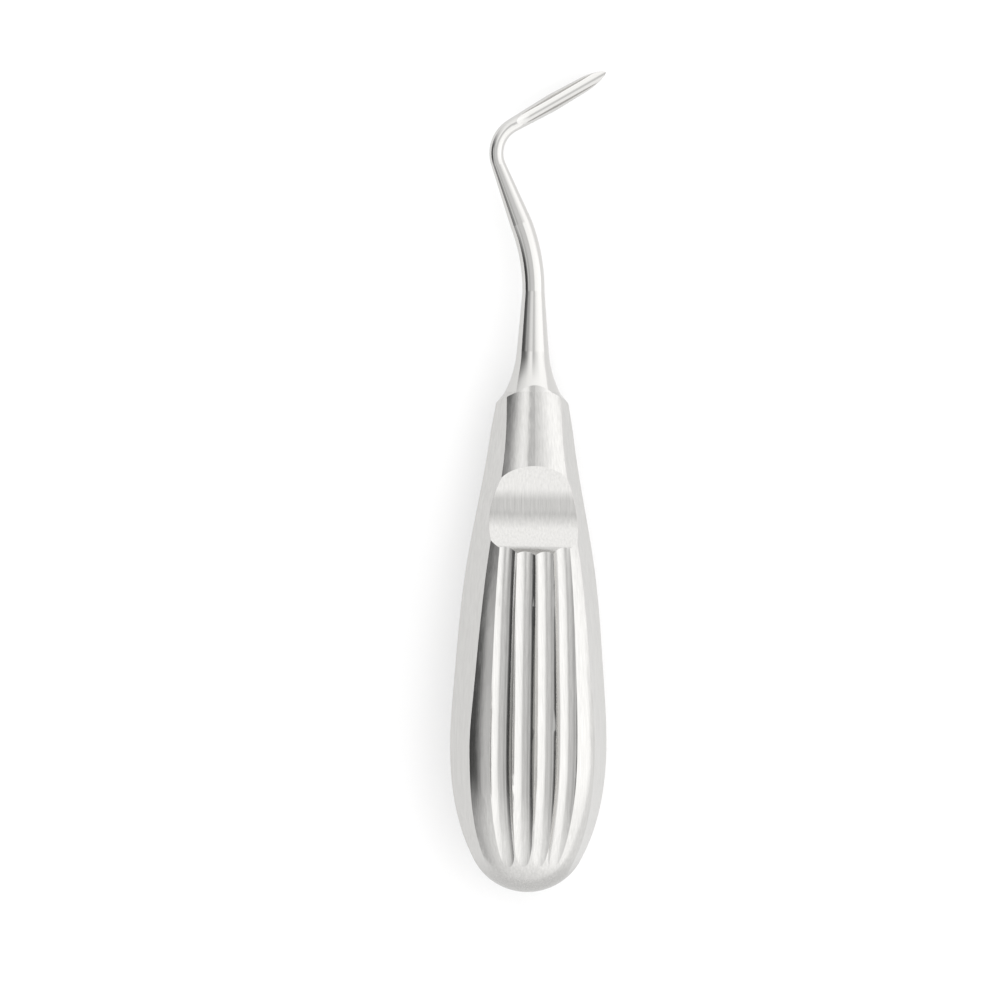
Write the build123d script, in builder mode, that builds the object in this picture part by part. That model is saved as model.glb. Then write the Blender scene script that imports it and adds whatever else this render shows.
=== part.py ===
"""Dental elevator: a fluted pear-shaped handle with a thumb rest, and a bent shank with a gouge blade.

Millimetres. The instrument is drawn along +Y with its butt end at Y = 0 and its thumb rest up (+Z).
At the end it is laid down as it rests on a table.
"""
import os
from math import asin, degrees, hypot, radians, sqrt, tan

from build123d import *

# Handle outline, seen from the front: tangent arcs and lines from the butt to the neck
handle_length = 84.7
butt_radius = 10.3
shoulder_radius = 38.5
belly_half_width = 13.32
belly_radius = 150.0
land_slope = 4.4
land_length = 10.0
flank_radius = 155.0
taper_slope = 10.1

# Thickness of the handle over its width
flatness = 0.75

# Strips ground along the sides; their angle grows evenly from the butt to the neck
strip_angle_at_butt = 20.5
strip_angle_at_neck = 31.0
strip_fade = 1.0
blank_proud = 0.1

# Flutes, four on each face; their centres and half widths are shares of the handle's half width
flute_radius = 2.3
flute_centre_shares = (0.136, 0.405)
flute_half_share = 0.152
flute_leaves_shoulder = 0.15
flute_run_out = 14.0
flute_leaves_flank = 0.9
flute_lift_radius = 40.0
flute_lift_angle = 22.0

# Thumb rest
thumb_rest_from_butt = 65.3
thumb_rest_radius = 10.3
thumb_rest_floor = 3.6

# Tang and bore
tang_radius = 2.5
tang_length = 20.0
braze_gap = 0.05
bore_bottom_gap = 0.5

# Neck shoulder, cut back to the foot of the shank
foot_radius = 4.8
neck_chamfer_steepness = 1.25
cut_clearance = 1.0

# Shank
flare_length = 7.0
flare_top_radius = 2.75
neck_to_first_bend = 17.3
first_bend_angle = 21.9
first_bend_radius = 31.0
between_bends = 10.7
elbow_angle = 81.2
elbow_bend_radius = 5.5
shank_bend_radius = 1.9
shank_elbow_radius = 1.2

# Blade, turned outline first and then the gouge
blade_length = 18.4
blade_widest = 8.0
blade_half_width = 1.5
shoulder_from_root = 14.0
shoulder_half_width = 1.3
point_length = 0.3
point_half_width = 0.42
tip_half_width = 0.12
gouge_radius = 1.15
gouge_from_root = 3.4
gouge_floor_at_root = 0.45
gouge_floor_at_tip = 0.05
gouge_run_out_radius = 4.0
gouge_run_out_angle = 60.0

# How it lies: neck low, and over on two of its back ridges, which are worn flat there
rest_pitch = 2.92
rest_roll = 6.15
rest_yaw = 0.66
rest_wear = 0.3

# Outline of the blank, which stands a little proud of the finished sides
blank_half_width = belly_half_width + blank_proud
butt_turn = degrees(asin((shoulder_radius - blank_half_width) / (shoulder_radius - butt_radius)))
neck = handle_length
with BuildLine() as outline:
    butt = JernArc((0, 0), (1, 0), butt_radius, butt_turn)
    shoulder = JernArc(butt @ 1, butt % 1, shoulder_radius, 90 - butt_turn)
    belly = JernArc(shoulder @ 1, shoulder % 1, belly_radius, land_slope)
    land = PolarLine(belly @ 1, land_length, direction=belly % 1)
    flank = JernArc(land @ 1, land % 1, flank_radius, taper_slope - land_slope)
    taper_way = flank % 1
    taper_length = (neck + flare_length - (flank @ 1).Y) / taper_way.Y
    taper = PolarLine(flank @ 1, taper_length, direction=taper_way)
    Polyline(taper @ 1, (0, neck + flare_length), (0, 0))

# A quarter of the blank, turned and squashed to the handle's thickness
with BuildPart() as blank:
    with BuildSketch(Plane.XY):
        add(outline.line)
        make_face()
    revolve(axis=Axis.Y, revolution_arc=-90)
    scale(by=(1, 1, flatness))


def ground_section(line, share):
    """Section of the ground sides at a point of the outline: a diamond."""
    point = line @ share
    leaning = max(0, (line % share).X)
    angle = radians(strip_angle_at_butt
                    + (strip_angle_at_neck - strip_angle_at_butt) * point.Y / handle_length)
    wide = point.X - blank_proud
    high = wide / tan(angle)
    with BuildSketch(Plane.XZ.offset(strip_fade * leaning ** 2 - point.Y)) as section:
        with BuildLine():
            Polyline((wide, 0), (0, high), (-wide, 0), (0, -high), close=True)
        make_face()
    return section.sketch


# Ground sides: four long flats in pairs, meeting in a mid-line
with BuildPart() as ground_sides:
    loft([ground_section(line, share) for line, share in (
        (butt, 0.25), (butt, 0.6), (butt, 1), (shoulder, 0.5), (shoulder, 1), (land, 0), (land, 1),
        (flank, 0.5), (flank, 1), (taper, 0.5), (taper, 1))])

# A quarter of the body before the flutes
with BuildPart() as body:
    add(blank.part)
    add(ground_sides.part, mode=Mode.INTERSECT)


def flute_cutter(share):
    """Round bar that follows the blank in a plane through the handle's own line, and leaves it at both ends."""
    height = flatness * sqrt(1 - share ** 2)
    side = Plane(origin=(0, 0, 0), x_dir=(share, 0, height), z_dir=(-height, 0, share))

    def bar(point):
        """Centre of the bar above a point of the outline."""
        sunk = sqrt(flute_radius ** 2 - (flute_half_share * point.X) ** 2)
        return hypot(share, height) * point.X + sunk, point.Y

    with BuildLine(side) as route:
        along_land = Line(bar(land @ 0), bar(land @ 1))
        along_flank = TangentArc(bar(land @ 1), bar(flank @ flute_leaves_flank), tangent=along_land % 1)
        JernArc(along_flank @ 1, along_flank % 1, flute_lift_radius, -flute_lift_angle)
        along_belly = TangentArc(bar(land @ 0), bar(belly @ 0), tangent=-(along_land % 0))
        along_shoulder = TangentArc(bar(belly @ 0), bar(shoulder @ flute_leaves_shoulder),
                                    tangent=along_belly % 1)
        PolarLine(along_shoulder @ 1, flute_run_out, direction=along_shoulder % 1)
    path = route.wire()
    with BuildPart() as cutter:
        with BuildSketch(Plane(origin=path @ 0, z_dir=path % 0)):
            Circle(flute_radius)
        sweep(path=path)
    return cutter.part


with BuildPart() as quarter:
    add(body.part)
    split(bisect_by=Plane.XZ.offset(-neck), keep=Keep.TOP)
    add([flute_cutter(share) for share in flute_centre_shares], mode=Mode.SUBTRACT)

with BuildPart() as handle:
    add(quarter.part)
    mirror(about=Plane.YZ)
    mirror(about=Plane.XY)
    with Locations(Location((0, thumb_rest_from_butt, thumb_rest_floor + thumb_rest_radius), (0, 90, 0))):
        Cylinder(thumb_rest_radius, 2 * (belly_half_width + cut_clearance), mode=Mode.SUBTRACT)
    with Locations(Location((0, neck, 0), (90, 0, 0))):
        Cylinder(tang_radius + braze_gap, tang_length + bore_bottom_gap,
                 align=(Align.CENTER, Align.CENTER, Align.MIN), mode=Mode.SUBTRACT)
    with BuildSketch(Plane.XY):
        with BuildLine():
            chamfer_end = neck - neck_chamfer_steepness * (belly_half_width - foot_radius)
            Polyline((foot_radius, neck), (belly_half_width, neck), (belly_half_width, chamfer_end), close=True)
        make_face()
    revolve(axis=Axis.Y, mode=Mode.SUBTRACT)

# Route of the shank from the end of its straight taper, in the plane z = 0
taper_end = neck + neck_to_first_bend
with BuildLine() as route:
    first_bend = JernArc((0, taper_end), (0, 1), first_bend_radius, first_bend_angle)
    straight = PolarLine(first_bend @ 1, between_bends, direction=first_bend % 1)
    elbow = JernArc(straight @ 1, straight % 1, elbow_bend_radius, -elbow_angle)
blade_root = elbow @ 1
blade_way = elbow % 1

# Blade: a spear-shaped outline turned about its own line
with BuildPart() as blade:
    with BuildSketch(Plane(origin=blade_root, x_dir=blade_way, z_dir=(0, 0, 1))):
        with BuildLine():
            point = (blade_length - point_length, point_half_width)
            sides = Polyline((0, shank_elbow_radius), (blade_widest, blade_half_width),
                             (shoulder_from_root, shoulder_half_width))
            TangentArc(sides @ 1, point, tangent=sides % 1)
            Polyline(point, (blade_length, tip_half_width), (blade_length, 0), (0, 0), (0, shank_elbow_radius))
        make_face()
    revolve(axis=Axis(blade_root, blade_way))

# Gouge cutter: a round bar that sinks towards the tip and lifts out of the blade at the root
with BuildPart() as gouge:
    upright = Plane(origin=blade_root, x_dir=blade_way, z_dir=(blade_way.Y, -blade_way.X, 0))
    with BuildLine(upright) as gouge_route:
        run = Line((blade_length, gouge_floor_at_tip + gouge_radius),
                   (gouge_from_root, gouge_floor_at_root + gouge_radius))
        JernArc(run @ 1, run % 1, gouge_run_out_radius, -gouge_run_out_angle)
    with BuildSketch(Plane(origin=run @ 0, z_dir=run % 0)):
        Circle(gouge_radius)
    sweep(path=gouge_route.wire())

# Trumpet foot, turned and then ground flush with a quarter of the handle's body, mirrored round
with BuildPart() as foot:
    with BuildSketch(Plane.XY):
        with BuildLine():
            flare_top = (flare_top_radius, neck + flare_length)
            shank_taper = Line((shank_bend_radius, taper_end), flare_top, mode=Mode.PRIVATE)
            TangentArc(flare_top, (foot_radius, neck), tangent=shank_taper % 1)
            Polyline((foot_radius, neck), (0, neck), (0, neck + flare_length), flare_top)
        make_face()
    revolve(axis=Axis.Y, revolution_arc=-90)
    add(body.part, mode=Mode.INTERSECT)
    mirror(about=Plane.YZ)
    mirror(about=Plane.XY)

with BuildPart() as working_end:
    with BuildSketch(Plane.XY):
        with BuildLine():
            Polyline((0, neck - tang_length), (tang_radius, neck - tang_length), (tang_radius, neck),
                     (0, neck), close=True)
        make_face()
        with BuildLine():
            Polyline((0, neck + flare_length), flare_top, (shank_bend_radius, taper_end), (0, taper_end),
                     close=True)
        make_face()
    revolve(axis=Axis.Y)
    add(foot.part)
    for bend, radius in ((first_bend, shank_bend_radius), (elbow, shank_elbow_radius)):
        with BuildSketch(Plane(origin=bend @ 0, z_dir=bend % 0)):
            Circle(radius)
        sweep(path=bend)
    with BuildSketch(Plane(origin=straight @ 0, x_dir=straight % 0, z_dir=(0, 0, 1))):
        with BuildLine():
            Polyline((0, 0), (0, shank_bend_radius), (between_bends, shank_elbow_radius), (between_bends, 0),
                     close=True)
        make_face()
    revolve(axis=Axis(straight @ 0, straight % 0))
    add(blade.part)
    add(gouge.part, mode=Mode.SUBTRACT)

# Laid down on its back
lying = Location((0, 0, 0), (0, 0, -rest_yaw)) * Location((0, 0, 0), (-rest_pitch, 0, 0))
lying *= Location((0, 0, 0), (0, rest_roll, 0))
with BuildPart() as lying_handle:
    add(handle.part.moved(lying))
    split(bisect_by=Plane.XY.offset(lying_handle.part.bounding_box().min.Z + rest_wear), keep=Keep.TOP)
lying_working_end = working_end.part.moved(lying)

# Its box centred over the origin, and its lowest point at Z = 0
lying_handle.part.label = "handle"
lying_working_end.label = "working_end"
box = lying_handle.part.bounding_box().add(lying_working_end.bounding_box())
seat = Location((-box.center().X, -box.center().Y, -box.min.Z))

os.makedirs("parts", exist_ok=True)
for piece in (lying_handle.part, lying_working_end):
    export_step(piece.moved(seat), f"parts/{piece.label}.step")
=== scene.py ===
"""Looks and light for a stainless steel dental elevator, seen lying on a white table from above."""
from math import pi

import bpy
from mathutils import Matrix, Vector

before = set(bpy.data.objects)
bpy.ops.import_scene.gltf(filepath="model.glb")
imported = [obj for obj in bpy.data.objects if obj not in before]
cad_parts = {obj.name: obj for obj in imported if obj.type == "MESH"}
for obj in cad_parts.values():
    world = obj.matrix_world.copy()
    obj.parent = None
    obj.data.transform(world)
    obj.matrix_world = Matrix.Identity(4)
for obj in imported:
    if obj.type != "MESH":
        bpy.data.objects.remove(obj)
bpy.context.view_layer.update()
scene = bpy.context.scene

MM = 0.001

# Camera: square above the table, its picture 1000 pixels wide
PICTURE_PIXELS = 1000
PIXELS_PER_MM = 5.895
CAMERA_HEIGHT = 2.5
AIM = Vector((-4.8, -3.26, 10.0)) * MM
SENSOR = 36.0

# Light tent: brightness by the angle in degrees from straight up, to the left (-) and to the right (+).
# It is dark low on the left, and grey near the top, where the camera looks through it.
# Angles are twice the slope of the steel that shows that part of the tent to a camera overhead
TENT_LEVEL = 1.17
OVER_NECK = ((-90, 0.12), (-54, 0.15), (-41, 0.36), (-31, 0.68), (-23, 1.0), (-13, 1.24), (-3, 1.15),
             (0, 0.68), (9, 0.68), (15, 0.84), (24, 0.98), (31, 1.12), (46, 1.36), (63, 1.42), (75, 1.3), (90, 1.1))
OVER_FLUTES = ((-90, 0.05), (-64, 0.07), (-58, 0.3), (-52, 0.66), (-46, 0.8), (-40, 0.5), (-32, 0.62),
               (-22, 0.76), (12, 0.78), (17, 1.15), (22, 1.28), (30, 1.36), (66, 1.46), (90, 1.48))
OVER_ENDS = ((-90, 0.2), (-75, 0.5), (-50, 0.9), (-20, 1.15), (0, 1.2), (46, 1.36), (90, 1.3))
# Where these take over, by the angle towards the butt (-) and the blade (+)
NECK_SHARE = ((12, 0), (20, 1))
ENDS_SHARE = ((-26, 1), (-6, 0), (20, 0), (48, 1))

# Grinding lines; real ones are finer and are drawn this coarse so that they show
LINE_WIDTH = 0.3 * MM
LINE_LENGTH = 9 * MM
LINE_DEPTH = 0.02 * MM
LINE_TONE = 0.25

# Where the finer finish of the thumb rest and neck starts, and over how much
THUMB_REST_END = -11 * MM
FINISH_FADE = 3 * MM

# The butt is blasted and rougher, and its base colour is darkened there as painted shade: where this starts and
# where it is full
BLASTED_AND_SHADED_BUTT = (-63 * MM, -68 * MM)

# Edges broken by hand after grinding
EDGE_BREAK = 0.08 * MM


def colour(code):
    """Linear RGBA of an sRGB hex colour."""
    channels = [int(code[i:i + 2], 16) / 255 for i in (0, 2, 4)]
    return [c / 12.92 if c <= 0.04045 else ((c + 0.055) / 1.055) ** 2.4 for c in channels] + [1.0]


def node(tree, kind, inputs=None, **settings):
    """Add a node: its settings, then its inputs as values or as links from other sockets."""
    made = tree.nodes.new(kind)
    for name, value in settings.items():
        setattr(made, name, value)
    for name, value in (inputs or {}).items():
        if isinstance(value, bpy.types.NodeSocket):
            tree.links.new(value, made.inputs[name])
        else:
            made.inputs[name].default_value = value
    return made


def sums(tree, operation, *values):
    """Result of a math node."""
    return node(tree, "ShaderNodeMath", dict(enumerate(values)), operation=operation).outputs[0]


def new_material(name):
    """An empty node material and its tree."""
    made = bpy.data.materials.new(name)
    made.use_nodes = True
    made.node_tree.nodes.clear()
    return made, made.node_tree


def finish_material(tree, shader):
    """Send a shader to the surface."""
    node(tree, "ShaderNodeOutputMaterial", {"Surface": shader})


def between(tree, value, start, end, low, high, **settings):
    """Value that goes from low to high between start and end."""
    return node(tree, "ShaderNodeMapRange", {
        "Value": value, "From Min": start, "From Max": end, "To Min": low, "To Max": high},
        **settings).outputs[0]


def grinding_lines(tree, place, width, length):
    """Noise drawn out into fine lines along the instrument, 0 to 1."""
    across = 1 / width
    stretched = node(tree, "ShaderNodeMapping", {"Vector": place, "Scale": (across, 1 / length, across)})
    return node(tree, "ShaderNodeTexNoise", {
        "Vector": stretched.outputs[0], "Scale": 1.0, "Detail": 2.0}).outputs[0]


def satin_steel():
    """Stainless steel, ground lengthwise; fine satin at the neck and thumb rest, blasted and softer below, with
    painted shade darkening the butt.
    """
    made, tree = new_material("satin_stainless_steel")
    place = node(tree, "ShaderNodeTexCoord").outputs["Object"]
    along = node(tree, "ShaderNodeSeparateXYZ", {"Vector": place}).outputs["Y"]
    lines = grinding_lines(tree, place, LINE_WIDTH, LINE_LENGTH)
    line = sums(tree, "SUBTRACT", lines, 0.5)
    finish = between(tree, along, THUMB_REST_END - FINISH_FADE, THUMB_REST_END, 0.17, 0.13)
    dull_and_shaded = between(tree, along, *BLASTED_AND_SHADED_BUTT, 0.0, 1.0, interpolation_type="SMOOTHSTEP")
    rough = sums(tree, "MULTIPLY_ADD", dull_and_shaded, 0.1, sums(tree, "MULTIPLY_ADD", line, 0.1, finish))
    # Painted shade: the base colour darkens by a fifth towards the butt, on top of the grinding lines
    tone = sums(tree, "MULTIPLY_ADD", dull_and_shaded, -0.2, sums(tree, "MULTIPLY_ADD", line, LINE_TONE, 1.0))
    base = node(tree, "ShaderNodeVectorMath", {0: colour("c8c7c5")[:3], "Scale": tone}, operation="SCALE")
    edges = node(tree, "ShaderNodeBevel", {"Radius": EDGE_BREAK}, samples=4)
    bumps = node(tree, "ShaderNodeBump", {
        "Height": lines, "Strength": 0.25, "Distance": LINE_DEPTH, "Normal": edges.outputs[0]})
    shader = node(tree, "ShaderNodeBsdfPrincipled", {
        "Base Color": base.outputs[0], "Metallic": 1.0, "Roughness": rough, "Normal": bumps.outputs[0]})
    finish_material(tree, shader.outputs[0])
    return made


def polished_steel():
    """Stainless steel, buffed."""
    made, tree = new_material("buffed_stainless_steel")
    shader = node(tree, "ShaderNodeBsdfPrincipled", {
        "Base Color": colour("cccbc9"), "Metallic": 1.0, "Roughness": 0.12})
    finish_material(tree, shader.outputs[0])
    return made


def dress(name, material):
    """Give a CAD node its material."""
    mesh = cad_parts[name].data
    mesh.materials.clear()
    mesh.materials.append(material)


dress("handle", satin_steel())
dress("working_end", polished_steel())


def white_table():
    """Matt white table that keeps the shadow and shows white to the camera and in the metal."""
    made, tree = new_material("matt_white_table")
    path = node(tree, "ShaderNodeLightPath")
    seen = sums(tree, "MAXIMUM", path.outputs["Is Camera Ray"], path.outputs["Is Glossy Ray"])
    matt = node(tree, "ShaderNodeBsdfDiffuse", {"Color": colour("cccccc")})
    lift = node(tree, "ShaderNodeEmission", {"Color": colour("ffffff"),
                                             "Strength": sums(tree, "MULTIPLY", seen, 0.4)})
    both = node(tree, "ShaderNodeAddShader", {0: matt.outputs[0], 1: lift.outputs[0]})
    finish_material(tree, both.outputs[0])
    return made


def table():
    """Large flat table under the instrument."""
    bpy.ops.mesh.primitive_plane_add(size=6.0)
    made = bpy.context.object
    made.name = "table"
    made.data.materials.append(white_table())


def by_slope(tree, rise, stops):
    """Value that runs through stops in degrees by twice the slope of a rise."""
    highest = max(value for _, value in stops)
    turned = sums(tree, "MULTIPLY_ADD", sums(tree, "ARCSINE", rise), 2 / pi, 0.5)
    made = node(tree, "ShaderNodeValToRGB", {"Fac": turned})
    elements = made.color_ramp.elements
    while len(elements) < len(stops):
        elements.new(0.5)
    for element, (stop, value) in zip(elements, stops):
        element.position = 0.5 + stop / 180
        element.color = [value / highest] * 3 + [1.0]
    return sums(tree, "MULTIPLY", made.outputs["Color"], highest)


def light_tent():
    """White tent round the table, dark low on the left, with a grey hole above for the camera."""
    made = bpy.data.worlds.new("light_tent")
    made.use_nodes = True
    tree = made.node_tree
    tree.nodes.clear()
    way = node(tree, "ShaderNodeTexCoord").outputs["Generated"]
    halfway = node(tree, "ShaderNodeVectorMath", {0: way, 1: (0, 0, 1)}, operation="ADD")
    facing = node(tree, "ShaderNodeVectorMath", {0: halfway.outputs[0]}, operation="NORMALIZE")
    facing = node(tree, "ShaderNodeSeparateXYZ", {"Vector": facing.outputs[0]}).outputs
    light = by_slope(tree, facing["X"], OVER_FLUTES)
    for stops, share in ((OVER_NECK, NECK_SHARE), (OVER_ENDS, ENDS_SHARE)):
        light = node(tree, "ShaderNodeMix", {
            "Factor": by_slope(tree, facing["Y"], share), "A": light,
            "B": by_slope(tree, facing["X"], stops)}).outputs["Result"]
    shining = node(tree, "ShaderNodeBackground", {
        "Color": colour("ffffff"), "Strength": sums(tree, "MULTIPLY", light, TENT_LEVEL)})
    node(tree, "ShaderNodeOutputWorld", {"Surface": shining.outputs[0]})
    scene.world = made


def camera():
    """Long lens straight above the table."""
    made = bpy.data.objects.new("camera", bpy.data.cameras.new("camera"))
    field = PICTURE_PIXELS / PIXELS_PER_MM * MM
    made.data.sensor_width = SENSOR
    made.data.lens = SENSOR * CAMERA_HEIGHT / field
    made.location = AIM + Vector((0, 0, CAMERA_HEIGHT))
    scene.collection.objects.link(made)
    scene.camera = made


table()
camera()
light_tent()
scene.view_settings.view_transform = "Standard"
